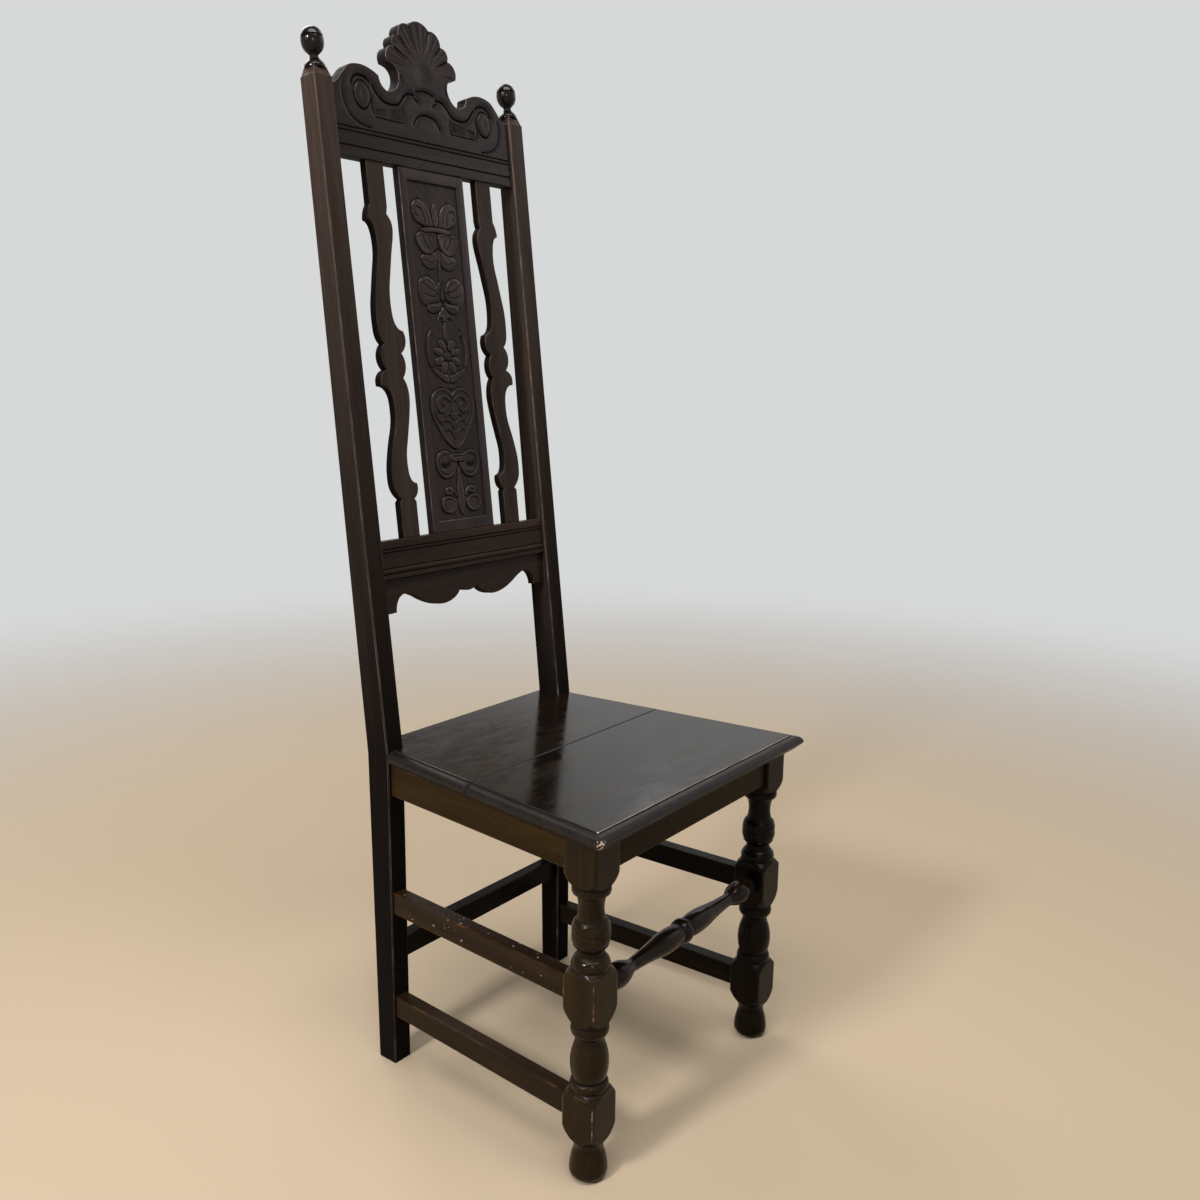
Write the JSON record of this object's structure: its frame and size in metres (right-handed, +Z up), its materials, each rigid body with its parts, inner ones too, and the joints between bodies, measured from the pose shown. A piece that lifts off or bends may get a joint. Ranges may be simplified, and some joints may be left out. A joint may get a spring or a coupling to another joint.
{
  "type": "hall chair",
  "caption": "High-backed dark oak hall chair: carved shell crest, carved splat between fret-sawn slats, plank seat with moulded edge, turned front legs and stretchers.",
  "frame": {"origin": "on the floor, below the middle of the chair's bounding box", "axes": "+Z up, +Y to the back of the chair, +X to the right seen from the front"},
  "size_m": [0.466, 0.5225, 1.4048],
  "materials": {
    "dark_oak": "dark stained, waxed to a satin shine",
    "bare_wood": "bare, unpolished"
  },
  "bodies": {
    "root": {"back_apron": "dark_oak", "back_post_left": "dark_oak", "back_post_right": "dark_oak", "back_stretcher": "dark_oak", "corner_block_back_left": "bare_wood", "corner_block_back_right": "bare_wood", "corner_block_front_left": "bare_wood", "corner_block_front_right": "bare_wood", "crest_rail": "dark_oak", "finials": "dark_oak", "fret_slat_left": "dark_oak", "fret_slat_right": "dark_oak", "front_leg_left": "dark_oak", "front_leg_right": "dark_oak", "front_stretcher": "dark_oak", "lower_back_rail": "dark_oak", "seat_board_front": "dark_oak", "seat_board_rear": "dark_oak", "seat_rail_back": "dark_oak", "seat_rail_front": "dark_oak", "seat_rail_left": "dark_oak", "seat_rail_right": "dark_oak", "side_stretcher_lower_left": "dark_oak", "side_stretcher_lower_right": "dark_oak", "side_stretcher_upper_left": "dark_oak", "side_stretcher_upper_right": "dark_oak", "splat": "dark_oak"}
  },
  "joints": []
}
